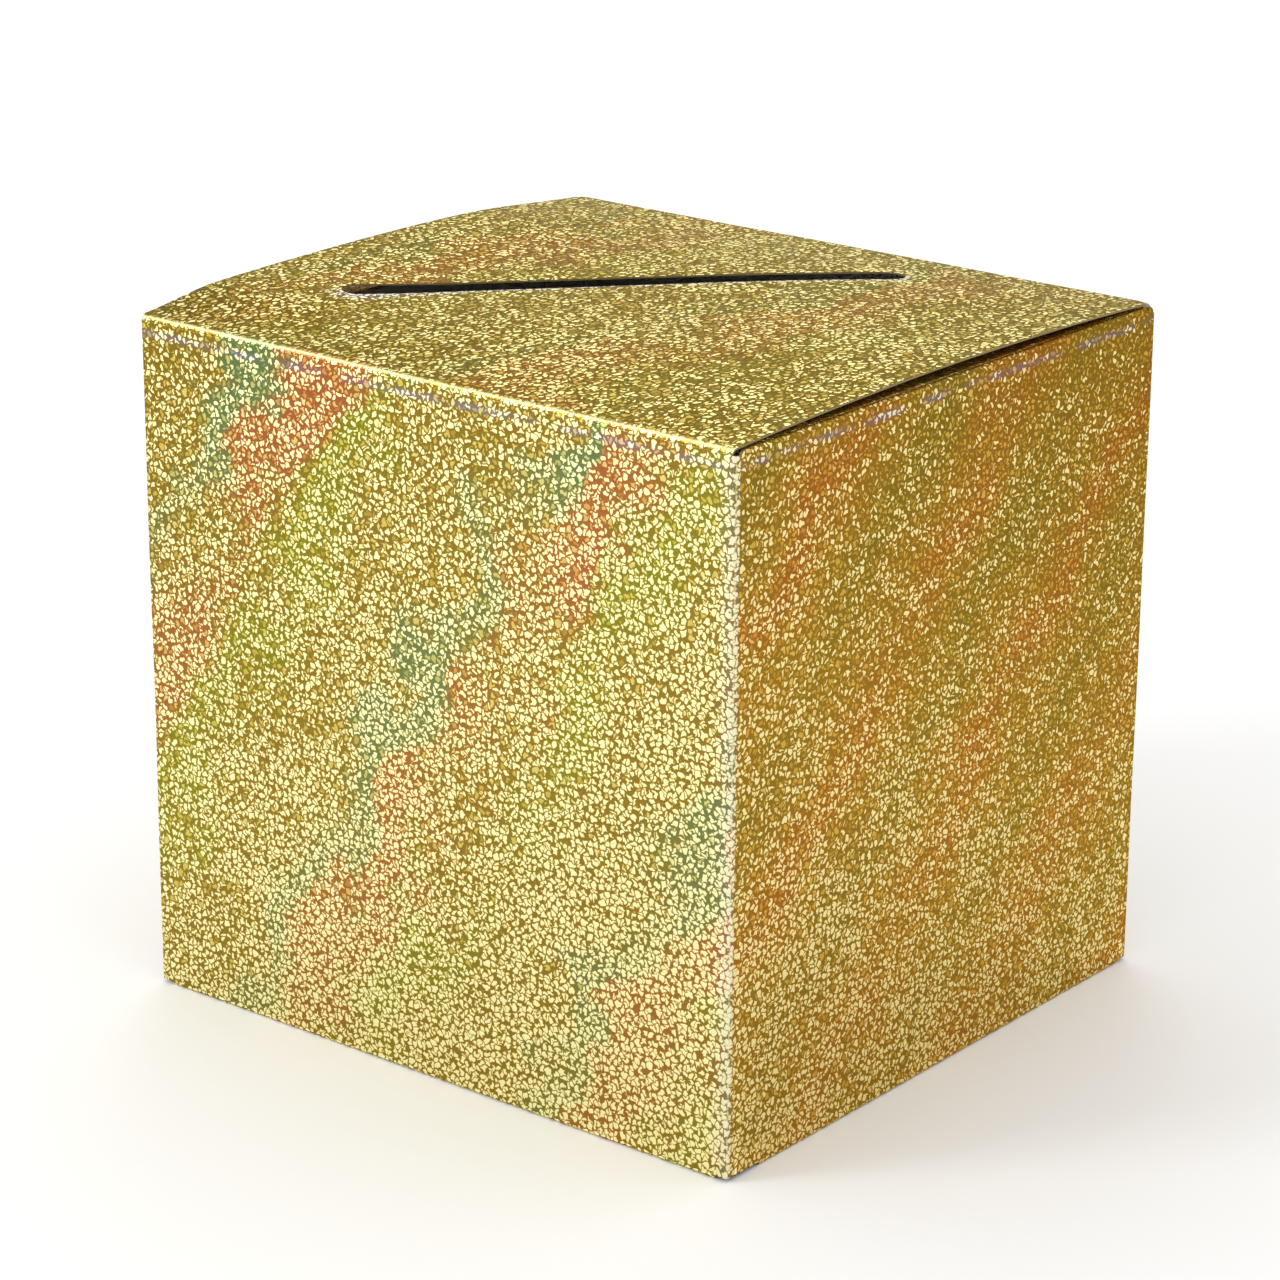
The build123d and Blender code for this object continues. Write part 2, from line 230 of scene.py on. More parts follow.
# Painted sheen beside the front-right fold: its width, its violet painted reflection and its extra painted
# glints; then the reach of the lip's painted sheen at its left and right ends, and the lip's extra painted
# glints
PAINTED_SHEEN_WIDTH = 7.0 * MM
PAINTED_FOLD_VIOLET = 0.25
PAINTED_FOLD_GLINTS = 0.45
PAINTED_LIP_REACH = (9.0 * MM, 4.0 * MM)
PAINTED_LIP_GLINTS = 0.5
SCORE_LINE = HINGE_Z - 5.6 * MM
# Painted shade: the colour that the gold between the pebbles is multiplied towards
SHADE = (0.32, 0.27, 0.20, 1.0)
LID_DRAW = 0.78
# Extra painted glints round the slot's right tip
PAINTED_TIP_GLINTS = 0.5

# How each panel's film lies: lean of the rainbow bands, their period and start in millimetres,
# their strength, the share of bright pebbles (painted glints) in the middle and its change per metre
# across and up, a painted gradient of light which also lightens the joints, the mood from square on to
# the light (0) to turned away from it (1), which blends painted lit and shaded colours, and the joints'
# painted shade
LOOKS = {
    "front": (0.62, 125.0, -63.0, 0.95, 0.80, (0.9, -1.7), 0.0, 0.0),
    "right": (0.92, 88.0, 60.0, 0.85, 0.50, (-1.3, -2.3), 1.0, 0.02),
    "lid": (0.30, 122.0, -50.0, 1.0, 0.50, (0.0, 0.0), 0.4, 0.95),
    "left": (0.62, 120.0, 10.0, 0.85, 0.50, (0.0, 0.0), 0.4, 0.1),
    "back": (0.75, 118.0, 30.0, 0.85, 0.55, (0.0, 0.0), 0.3, 0.05),
}

LOOK_MIDDLES = {
    "front": 0.0,
    "right": (STATIONS[4] + STATIONS[5]) / 2,
    "lid": 0.0,
    "left": (STATIONS[0] + STATIONS[1]) / 2,
    "back": (STATIONS[6] + STATIONS[7]) / 2,
}

# Stage
FLOOR_HALF = 8.0
FLOOR_Z = -0.2 * MM
WORLD_STRENGTH = 1.04
LAMPS = (
    ("key", (-1.3, -1.9, 1.1), 20.0, 0.9),
    ("back", (-0.9, 1.2, 1.4), 3.0, 0.9),
)
CAMERA_PLACE = (0.7996, -1.0032, 0.5568)
CAMERA_AZIMUTH = 38.70
CAMERA_ELEVATION = 18.94
CAMERA_ROLL = 0.35
CAMERA_LENS = 117.1
CAMERA_SENSOR = 36.0


def stations(low, high, step, *painted_glints):
    """Places from low to high: evenly spaced, with closer ones in the last few millimetres at each end."""
    near_ends = END_STEPS[END_STEPS < (high - low) / 3]
    even = np.linspace(low, high, max(2, round((high - low) / step)) + 1)
    inner = even[(even > low + END_ZONE) & (even < high - END_ZONE)] if len(near_ends) else even[1:-1]
    return np.unique(np.concatenate([[low, high], low + near_ends, high - near_ends, inner, painted_glints]))


def smooth(x):
    """The smooth step: 0 below 0, 1 above 1, and 3x^2 - 2x^3 between."""
    x = np.clip(x, 0, 1)
    return x * x * (3 - 2 * x)


def rounding(inset, radius):
    """How far a round corner falls back, a given distance in from its end: R - sqrt(R^2 - (R - inset)^2)."""
    reach = np.clip(radius - inset, 0, radius)
    return radius - np.sqrt(radius**2 - reach**2)


def ripple(s, v):
    """Long gentle waves over the flat blank: three crossing sine waves added up, the longest the highest."""
    total = sum(
        span * np.sin(2 * math.pi * (s * math.cos(way) + v * math.sin(way)) / span + phase)
        for span, way, phase in RIPPLE_WAVES
    )
    return sizes().ripple * total / sum(span for span, _, _ in RIPPLE_WAVES)


def sleeve(s, z, out):
    """Walls and upright folds: a point goes round the walls' path at height z and out along its normal.

    The fold's centre and the normal's turn are both linear in s: on a wall only the centre moves,
    and on a fold only the normal turns."""
    turn = np.interp(s, STATIONS, PATH_TURN)
    normal = np.stack([np.cos(turn), np.sin(turn), np.zeros_like(turn)], -1)
    centre = np.stack([np.interp(s, STATIONS, PATH_X), np.interp(s, STATIONS, PATH_Y), z], -1)
    return centre + normal * (PATH_RADIUS + out)[..., None], normal


def fold_distance(s, v):
    """How far a point of the walls is from a painted highlight line: the lid's crease, or the fainter
    front-right fold.
    """
    crease = np.where(np.abs(s) < CORNER_X + QUARTER / 2, np.abs(HINGE_Z - v), FAR)
    return np.minimum(crease, np.abs(s - FOLD_STATIONS[1]) + UPRIGHT_HIGHLIGHT_OFFSET)


def painted_sheen_beside_fold(s):
    """How strong the painted sheen is on the front beside its right-hand fold: 1 at the fold, falling
    smoothly to 0.
    """
    inset = FOLD_STATIONS[1] - s
    return np.where(inset > -QUARTER / 2, 1 - smooth(inset / PAINTED_SHEEN_WIDTH), 0.0)


def arch(y):
    """Height of the lid's outer face over its hinge: bow x (1 - |2t - 1|^p), t from hinge to tuck fold."""
    t = (y + HALF_DEPTH) / LID_CHORD
    return LID_BOW * (1 - np.abs(2 * t - 1) ** ARCH_POWER)


def curl(x, y):
    """How far the lid stands off its arch near its left edge: the product of three smooth steps.

    One falls away from the edge, and two bring it to nothing at the hinge and at the tuck fold."""
    t = (y + HALF_DEPTH) / LID_CHORD
    edge = smooth(1 - (x + HALF_WIDTH) / CURL_REACH)
    return sizes().curl * edge * smooth(t / CURL_RISE) * smooth((1 - t) / CURL_FALL)


def crease_strip(corner, first, second, columns, reach, spread=0.0):
    """A fold's rounding: it leaves one face along `first` and joins the next along `second`.

    A circular arc that touches both faces at `reach` from their corner, swept along the fold."""
    first, second = np.array(first, float), np.array(second, float)
    angle = math.acos(first @ second)
    inward = (second - first * (first @ second)) / math.sin(angle)
    radius = reach / math.tan(angle / 2)
    turn = np.linspace(0, angle, CREASE_ROWS)[:, None, None]
    arc = radius * (np.sin(turn) * first + (1 - np.cos(turn)) * inward) - reach * first
    normal = np.sin(turn) * first - np.cos(turn) * inward
    along = np.abs(np.cross(first, second)) / math.sin(angle)
    x = columns[None, :, None] * (1 + spread * turn / angle)
    normal = np.broadcast_to(normal, (CREASE_ROWS, len(columns), 3))
    return corner + arc + x * along, normal, turn[..., 0] / angle


def flap(root, along, away, face, columns, far, near=0.0, tapers=(0.0, 0.0), power=1, lift=None):
    """A flap: each column leaves its fold at `near` and runs straight to far(column).

    The outer columns are drawn in by taper x distance x |u|^power, and lift says how far the
    board stands off the flap's flat plane."""
    rows = np.linspace(0, 1, max(3, round((far(columns).max() - near) / sizes().grid)) + 1)[:, None]
    x = columns[None, :]
    distance = near + (far(x) - near) * rows
    middle, half = (columns[0] + columns[-1]) / 2, (columns[-1] - columns[0]) / 2
    u = (x - middle) / half
    taper = np.where(u < 0, tapers[0], tapers[1])
    x = x - np.sign(u) * taper * distance * np.abs(u) ** power
    rise = np.zeros_like(distance) if lift is None else lift(x, distance)
    root, along, away, face = (np.array(v, float) for v in (root, along, away, face))
    points = root + x[..., None] * along + distance[..., None] * away + rise[..., None] * face
    return points, x, distance


# ---- meshes ----------------------------------------------------------------------------------


def sizes():
    return bpy.context.scene.card_box_sizes


def colours():
    return bpy.context.scene.card_box_colours


def surface_normals(points, ring, face):
    """Unit normals of a grid: the cross product of its two directions, on the side `face` points to."""
    across = np.roll(points, -1, 1) - np.roll(points, 1, 1) if ring else np.gradient(points, axis=1)
    up = np.gradient(points, axis=0)
    normal = np.cross(across, up)
    normal /= np.linalg.norm(normal, axis=-1, keepdims=True)
    flip = np.sign(np.sum(normal * face))
    return normal * flip, flip < 0


def board_piece(name, points, face, blank, look, distance, body, nodes, ring=False, wear=0.0, painted_glints=0.0):
    """A piece of board from the grid of its outer face: the inner face lies one thickness below it.

    The faces are quads between neighbours of the grid, and a strip of cut edge closes its border.
    Three attributes serve the foil: "blank" is a point's place on the flat blank and its distance
    from a painted fold highlight, "film" the phase and strength of the rainbow bands and the share of
    pebbles painted bright as glints, and the third holds painted light: the mood that blends painted lit and
    shaded colours, how far the film shows a violet painted reflection, and its painted shade."""
    rows, cols = points.shape[:2]
    normals, flipped = surface_normals(points, ring, face)
    count = rows * cols
    verts = np.concatenate([points.reshape(-1, 3), (points - normals * BOARD).reshape(-1, 3)])
    i = np.arange(rows - 1)[:, None] * cols
    j = np.arange(cols if ring else cols - 1)[None, :]
    after = (j + 1) % cols
    outer = np.stack([i + j, i + after, i + cols + after, i + cols + j], -1).reshape(-1, 4)
    if ring:
        borders = [np.arange(cols), np.arange(cols)[::-1] + count - cols]
    else:
        grid = np.arange(count).reshape(rows, cols)
        borders = [np.concatenate([grid[0, :-1], grid[:-1, -1], grid[-1, :0:-1], grid[:0:-1, 0]])]
    edges = [
        np.stack([np.roll(border, -1), border, border + count, np.roll(border, -1) + count], -1)
        for border in borders
    ]
    faces = np.concatenate([outer, outer[:, ::-1] + count, *edges])
    if flipped:
        faces = faces[:, ::-1]
    mesh = bpy.data.meshes.new(name)
    mesh.from_pydata(verts, [], faces)
    kinds = np.zeros(len(faces), np.int32)
    kinds[len(outer) : 2 * len(outer)] = 1
    kinds[2 * len(outer) :] = 2
    mesh.polygons.foreach_set("material_index", kinds)
    mesh.polygons.foreach_set("use_smooth", kinds < 2)
    s, v = blank
    lean, period, start, strength, share, (across, upward), painted_turn_from_light, shade = LOOKS[look]
    phase = (s - lean * v - start * MM) / (period * MM)
    strength = strength * (0.5 + 0.5 * np.clip(v / HINGE_Z, 0, 1))
    # Painted light: the drift is a painted gradient of light, with more painted glints and less painted shade
    # where it rises; the added share at folds and lips is more pebbles painted bright as glints
    painted_light_drift = across * (s - LOOK_MIDDLES[look]) + upward * (np.minimum(v, HINGE_Z) - HINGE_Z / 2)
    for label, values in (
        ("blank", (s, v, distance)),
        ("film", (phase, strength, share + painted_light_drift + painted_glints)),
        ("wear", (painted_turn_from_light, wear, shade - painted_light_drift)),
    ):
        values = [np.broadcast_to(a, (rows, cols)).ravel() for a in values]
        column = np.stack(values, -1).astype(np.float32)
        attribute = mesh.attributes.new(label, "FLOAT_VECTOR", "POINT")
        attribute.data.foreach_set("vector", np.concatenate([column, column]).ravel())
    for material in (foil_board(), coated_board(), cut_board()):
        mesh.materials.append(material)
    mesh.update()
    mesh.validate()
    piece = bpy.data.objects.new(name, mesh)
    bpy.context.scene.collection.objects.link(piece)
    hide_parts(*nodes)
    if body:
        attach(piece, body)
    return piece


# ---- materials -------------------------------------------------------------------------------


def add(material, kind, inputs=(), **settings):
    """Adds a shader node with its settings. Each input gets a value, a socket or a node's first output."""
    node = material.node_tree.nodes.new("ShaderNode" + kind)
    for name, value in settings.items():
        setattr(node, name, value)
    for name, value in dict(inputs).items():
        if isinstance(value, bpy.types.Node):
            value = value.outputs[0]
        if isinstance(value, bpy.types.NodeSocket):
            material.node_tree.links.new(value, node.inputs[name])
        else:
            node.inputs[name].default_value = tuple(value) if hasattr(value, "__len__") else value
    return node


def dimmed(value, share):
    """A colour times a share."""
    return tuple(c * share for c in value)


def new_material(name):
    """An empty node material and its output node."""
    material = bpy.data.materials.new(name)
    material.use_nodes = True
    material.node_tree.nodes.clear()
    return material, add(material, "OutputMaterial")


def foil_board():
    """Board laminated with a hot-stamped glitter film: aluminium on polyester, embossed and tinted gold.

    The embossing is a bed of round pebbles with sunk joints, so it glints grain by grain, and these glints
    are painted highlights in the colour; its fine grating throws rainbow bands in which the joints change hue
    while the bright pebbles stay pale."""
    name = "glitter_foil_board"
    if name in bpy.data.materials:
        return bpy.data.materials[name]
    m, output = new_material(name)
    c, spacing = colours(), sizes().pebble
    blank = add(m, "Attribute", attribute_name="blank").outputs["Vector"]
    place = add(m, "SeparateXYZ", {0: blank})
    film = add(m, "SeparateXYZ", {0: add(m, "Attribute", attribute_name="film").outputs["Vector"]})
    wear = add(m, "SeparateXYZ", {0: add(m, "Attribute", attribute_name="wear").outputs["Vector"]})
    noise = {
        span: add(
            m, "TexNoise", {"Vector": blank, "Scale": 1 / (span * MM), "Detail": detail, "Roughness": 0.55},
            noise_dimensions="2D",
        )
        for span, detail in ((0.8, 1), (1.3, 1), (2.2, 1), (14, 1), (34, 3), (42, 2), (60, 1))
    }
    soft = {"interpolation_type": "SMOOTHSTEP"}

    # Pebbles: cells with uneven joints, their places shaken by less than a pebble's width
    shake = add(m, "VectorMath", {0: noise[2.2].outputs["Color"], 1: (0.5, 0.5, 0.5)}, operation="SUBTRACT")
    shake = add(m, "VectorMath", {0: shake, "Scale": 1.3 * spacing}, operation="SCALE")
    shaken = add(m, "VectorMath", {0: blank, 1: shake}, operation="ADD")
    cell = {"Vector": shaken, "Scale": 1 / spacing, "Randomness": 0.95}
    joint = add(m, "TexVoronoi", cell, voronoi_dimensions="2D", feature="DISTANCE_TO_EDGE")
    grain = add(m, "TexVoronoi", cell, voronoi_dimensions="2D", feature="F1")
    chance = add(m, "SeparateColor", {0: grain.outputs["Color"]})
    corner = add(m, "Math", {0: grain, 1: 0.32}, operation="SUBTRACT")
    corner = add(m, "Math", {0: corner, 1: 0.0}, operation="MAXIMUM")
    pitted = add(m, "Math", {0: noise[0.8], 1: 0.16, 2: -0.08}, operation="MULTIPLY_ADD")
    dome = add(m, "Math", {0: corner, 1: -0.60, 2: joint}, operation="MULTIPLY_ADD")
    dome = add(m, "Math", {0: dome, 1: pitted}, operation="ADD")

    # Painted highlight on a fold, and a violet painted reflection in patches along the score line under the
    # top
    frayed = add(m, "Math", {0: noise[1.3], 1: 1.2 * MM, 2: -0.6 * MM}, operation="MULTIPLY_ADD")
    near = add(m, "Math", {0: place.outputs[2], 1: frayed}, operation="ADD")
    pale = add(m, "MapRange", {0: near, 1: 0.1 * MM, 2: 1.0 * MM, 3: 0.9, 4: 0.0}, **soft)
    score = add(m, "Math", {0: place.outputs[1], 1: SCORE_LINE}, operation="SUBTRACT")
    score = add(m, "Math", {0: add(m, "Math", {0: score}, operation="ABSOLUTE"), 1: frayed}, operation="ADD")
    score = add(m, "MapRange", {0: score, 1: 0.2 * MM, 2: 2.0 * MM, 3: 0.55, 4: 0.0}, **soft)
    broken = add(m, "MapRange", {0: noise[14], 1: 0.28, 2: 0.66}, **soft)
    score = add(m, "Math", {0: score, 1: broken}, operation="MULTIPLY")
    painted_violet = add(m, "Math", {0: score, 1: wear.outputs[1]}, operation="MAXIMUM")

    # Painted glints: how much of each pebble is painted bright, the panel's own share, more or less in
    # patches of a hand's width
    patches = add(m, "Math", {0: noise[42], 1: 0.5, 2: -0.25}, operation="MULTIPLY_ADD")
    share = add(m, "Math", {0: film.outputs[2], 1: patches}, operation="ADD")
    low = add(m, "Math", {0: share, 1: -0.14, 2: 0.13}, operation="MULTIPLY_ADD")
    high = add(m, "Math", {0: low, 1: 0.22}, operation="ADD")
    luck = add(m, "Math", {0: share, 1: chance}, operation="SUBTRACT")
    shine = add(m, "MapRange", {0: luck, 1: -0.30, 2: 0.10}, **soft)
    dull = add(m, "Math", {0: chance.outputs[2], 1: 0.40, 2: 0.15}, operation="MULTIPLY_ADD")
    gain = add(m, "Math", {0: shine, 1: dull}, operation="MAXIMUM")
    tone = add(m, "MapRange", {0: dome, 1: low, 2: high}, **soft)
    tone = add(m, "Math", {0: tone, 1: gain}, operation="MULTIPLY")
    tone = add(m, "Math", {0: tone, 1: pale}, operation="MAXIMUM")

    # Rainbow bands: the phase, torn into teeth, gives the joints their hue
    teeth = add(m, "Math", {0: noise[34], 1: 0.60, 2: -0.30}, operation="MULTIPLY_ADD")
    phase = add(m, "Math", {0: add(m, "Math", {0: film, 1: teeth}, operation="ADD")}, operation="FRACT")
    sharp = (
        (0.0, c.ember), (0.10, c.ember), (0.18, c.ground), (0.25, c.leaf), (0.32, c.leaf),
        (0.46, c.ground), (0.74, c.ground), (0.81, c.sea), (0.89, c.sea), (0.95, c.ember),
    )
    broad = ((0.0, c.amber), (0.25, c.umber), (0.55, c.olive), (0.78, c.umber), (1.0, c.amber))
    faint = add(m, "MapRange", {0: noise[60], 1: 0.15, 2: 0.55, 4: film.outputs[1]}, **soft)
    hues = []
    for stops, plain in ((sharp, c.ground), (broad, c.umber)):
        band = add(m, "ValToRGB", {0: phase})
        band.color_ramp.elements.remove(band.color_ramp.elements[1])
        band.color_ramp.elements[0].color = stops[0][1]
        for position, value in stops[1:]:
            band.color_ramp.elements.new(position).color = value
        hues.append(add(m, "Mix", {0: faint, 6: plain, 7: band}, data_type="RGBA").outputs[2])
    # Painted light: the mood blends the painted lit and shaded colours, the lilac is a violet painted
    # reflection, and the multiply is painted shade
    ground = add(m, "Mix", {0: wear, 6: hues[0], 7: hues[1]}, data_type="RGBA").outputs[2]
    ground = add(m, "Mix", {0: painted_violet, 6: ground, 7: c.lilac}, data_type="RGBA").outputs[2]
    ground = add(
        m, "Mix", {0: wear.outputs[2], 6: ground, 7: SHADE}, data_type="RGBA", blend_type="MULTIPLY",
    ).outputs[2]

    # Tone: dark joint, gold rim, gilt, then cream at the top of a bright pebble, a painted highlight; the
    # mood blends painted lit and shaded gilt and cream
    joints = add(
        m, "Mix", {0: 1.0, 6: ground, 7: (0.68, 0.66, 0.62, 1.0)}, data_type="RGBA", blend_type="MULTIPLY",
    ).outputs[2]
    gilt = add(m, "Mix", {0: wear, 6: c.gilt, 7: c.honey}, data_type="RGBA").outputs[2]
    gilt = add(m, "Mix", {0: 0.55, 6: ground, 7: gilt}, data_type="RGBA").outputs[2]
    cream = add(m, "Mix", {0: wear, 6: c.cream, 7: c.straw}, data_type="RGBA").outputs[2]
    cream = add(m, "Mix", {0: painted_violet, 6: cream, 7: c.frost}, data_type="RGBA").outputs[2]
    cream = add(m, "Mix", {0: 0.90, 6: ground, 7: cream}, data_type="RGBA").outputs[2]
    surface = joints
    for start, end, level in ((0.0, 0.16, ground), (0.12, 0.42, gilt), (0.42, 0.80, cream)):
        step = add(m, "MapRange", {0: tone, 1: start, 2: end}, **soft)
        surface = add(m, "Mix", {0: step, 6: surface, 7: level}, data_type="RGBA").outputs[2]

    height = add(m, "Math", {0: dome, 1: 0.3}, operation="MINIMUM")
    bump = add(m, "Bump", {"Height": height, "Strength": 0.5, "Distance": 0.35 * MM})
    rough = add(m, "Math", {0: chance.outputs[1], 1: 0.14, 2: 0.30}, operation="MULTIPLY_ADD")
    shader = add(m, "BsdfPrincipled", {
        "Base Color": surface, "Metallic": 1.0, "Roughness": rough, "Normal": bump, "Specular Tint": c.edge,
    })
    m.node_tree.links.new(shader.outputs[0], output.inputs[0])
    return m


def coated_board():
    """The board's inside: bleached pulp with a clay coat, matt white with faint cloudy formation."""
    name = "clay_coated_board"
    if name in bpy.data.materials:
        return bpy.data.materials[name]
    m, output = new_material(name)
    blank = add(m, "Attribute", attribute_name="blank").outputs["Vector"]
    cloud = add(m, "TexNoise", {"Vector": blank, "Scale": 1 / (6 * MM), "Detail": 4.0}, noise_dimensions="2D")
    board = colours().board
    tone = add(m, "Mix", {0: cloud, 6: dimmed(board, 0.88), 7: board}, data_type="RGBA")
    fibre = {"Vector": blank, "Scale": 1 / (0.5 * MM), "Detail": 3.0}
    fibre = add(m, "TexNoise", fibre, noise_dimensions="2D")
    bump = add(m, "Bump", {"Height": fibre, "Strength": 0.25, "Distance": 0.05 * MM})
    shader = add(m, "BsdfPrincipled", {"Base Color": tone.outputs[2], "Roughness": 0.68, "Normal": bump})
    m.node_tree.links.new(shader.outputs[0], output.inputs[0])
    return m


def cut_board():
    """The die-cut edge: bare pulp in layers, rougher and darker than the coat."""
    name = "die_cut_board_edge"
    if name in bpy.data.materials:
        return bpy.data.materials[name]
    m, output = new_material(name)
    place = add(m, "TexCoord").outputs["Object"]
    layers = add(m, "TexNoise", {"Vector": place, "Scale": 1 / (0.8 * MM), "Detail": 4.0})
    core = colours().core
    tone = add(m, "Mix", {0: layers, 6: dimmed(core, 0.7), 7: core}, data_type="RGBA")
    bump = add(m, "Bump", {"Height": layers, "Strength": 0.4, "Distance": 0.08 * MM})
    shader = add(m, "BsdfPrincipled", {"Base Color": tone.outputs[2], "Roughness": 0.85, "Normal": bump})
    m.node_tree.links.new(shader.outputs[0], output.inputs[0])
    return m


def dried_glue():
    """Water-based carton glue, rolled on and dried: a dull, slightly yellow film."""
    name = "dried_carton_glue"
    if name in bpy.data.materials:
        return bpy.data.materials[name]
    m, output = new_material(name)
    place = add(m, "TexCoord").outputs["Object"]
    streaks = add(m, "TexNoise", {"Vector": place, "Scale": 1 / (3 * MM), "Detail": 3.0})
    glue = colours().glue
    tone = add(m, "Mix", {0: streaks, 6: dimmed(glue, 0.8), 7: glue}, data_type="RGBA")
    shader = add(m, "BsdfPrincipled", {"Base Color": tone.outputs[2], "Roughness": 0.5})
    m.node_tree.links.new(shader.outputs[0], output.inputs[0])
    return m


def studio_paper():
    """Seamless background paper: matt and nearly white."""
    name = "studio_paper"
    if name in bpy.data.materials:
        return bpy.data.materials[name]
    m, output = new_material(name)
    shader = add(m, "BsdfPrincipled", {"Base Color": colours().floor, "Roughness": 0.9})
    m.node_tree.links.new(shader.outputs[0], output.inputs[0])
    return m


# ---- operators -------------------------------------------------------------------------------


class CARDBOX_OT_walls(bpy.types.Operator):
    """Make the four walls, from base fold to top"""

    bl_idname = "cardbox.walls"
    bl_label = "Walls"

    def execute(self, context):
        reach = sizes().crease_reach
        bead_end = DUST_BEAD_HIGH[1]

        def side_top(start, sign, back_end):
            """A side wall's top: cut down to the dust crease, with an ear and a round corner at each end."""
            def top(s):
                y = sign * (s - start) - CORNER_Y
                end = np.where(y > 0, back_end, CORNER_Y)
                ear = SIDE_TOP - np.where(
                    y > 0, rounding(end - np.abs(y), BACK_EAR), rounding(end - np.abs(y), FRONT_EAR)
                )
                return np.where(np.abs(y) <= bead_end, SIDE_TOP - reach, ear)
            return top

        def back_top(s):
            inset = np.minimum(s - STATIONS[6], STATIONS[7] - s)
            return SIDE_TOP - rounding(inset, BACK_EAR)

        walls = (
            ("left", 0, side_top(STATIONS[1], -1, HALF_DEPTH), "left"),
            ("front", 2, lambda s: np.full_like(s, HINGE_Z - reach), "front"),
            ("right", 4, side_top(STATIONS[4], 1, CORNER_Y), "right"),
            ("back", 6, back_top, "back"),
        )
        for name, run, top, look in walls:
            start, end = STATIONS[run], STATIONS[run + 1]
            notches = ()
            if name in ("left", "right"):
                low = (HALF_DEPTH if name == "left" else CORNER_Y) - bead_end
                high = CORNER_Y - bead_end
                notches = (start + low, start + low - NOTCH_CUT, end - high, end - high + NOTCH_CUT)
            s = stations(start, end, sizes().grid, *notches)[None, :]
            rows = stations(BASE_RADIUS, SIDE_TOP, sizes().grid)
            t = ((rows - BASE_RADIUS) / (SIDE_TOP - BASE_RADIUS))[:, None]
            z = BASE_RADIUS + (top(s) - BASE_RADIUS) * t
            s = np.broadcast_to(s, z.shape)
            u = (s - start) / (end - start)
            belly = sizes().bulge * np.sin(math.pi * u) * np.sin(math.pi * t)
            points, normal = sleeve(s, z, ripple(s, z) + belly)
            # Painted sheen beside the front-right fold: a violet painted reflection and more pebbles painted
            # bright as glints
            painted_sheen = painted_sheen_beside_fold(s)
            board_piece(
                f"{name}_wall", points, normal, (s, z), look, fold_distance(s, z), "carton", [f"wall_{name}"],
                wear=PAINTED_FOLD_VIOLET * painted_sheen, painted_glints=PAINTED_FOLD_GLINTS * painted_sheen,
            )
        return {"FINISHED"}


class CARDBOX_OT_upright_folds(bpy.types.Operator):
    """Make the rounded folds between the walls, and the glue flap that closes the sleeve"""

    bl_idname = "cardbox.upright_folds"
    bl_label = "Upright folds and glue flap"

    def execute(self, context):
        folds = (
            ("front_left", 1, FRONT_EAR, "front"), ("front_right", 3, FRONT_EAR, "front"),
            ("back_right", 5, BACK_EAR, "right"), ("back_left", 7, BACK_EAR, "back"),
        )
        for name, run, ear, look in folds:
            rows = stations(BASE_RADIUS, SIDE_TOP - ear, sizes().grid)
            s = np.linspace(STATIONS[run], STATIONS[run + 1], CREASE_ROWS)[None, :]
            z = np.broadcast_to(rows[:, None], (len(rows), CREASE_ROWS))
            s = np.broadcast_to(s, z.shape)
            points, normal = sleeve(s, z, ripple(s, z))
            # Painted sheen beside the front-right fold: a violet painted reflection and more pebbles painted
            # bright as glints
            painted_sheen = painted_sheen_beside_fold(s)
            board_piece(
                f"{name}_fold", points, normal, (s, z), look, fold_distance(s, z), "carton", [f"fold_{name}"],
                wear=PAINTED_FOLD_VIOLET * painted_sheen, painted_glints=PAINTED_FOLD_GLINTS * painted_sheen,
            )
        taper = math.tan(math.radians(GLUE_TAPER))
        s = stations(STATIONS[8], STATIONS[9], sizes().grid)[None, :]
        t = stations(0, 1, sizes().grid / (GLUE_HIGH[2] - GLUE_LOW[2]))[:, None]
        cut = (s - STATIONS[8]) * taper
        z = GLUE_LOW[2] + cut + (GLUE_HIGH[2] - GLUE_LOW[2] - 2 * cut) * t
        s = np.broadcast_to(s, z.shape)
        points, normal = sleeve(s, z, np.zeros_like(z))
        board_piece("glue_flap_board", points, normal, (s, z), "left", FAR, "carton", ["glue_flap"])
        return {"FINISHED"}


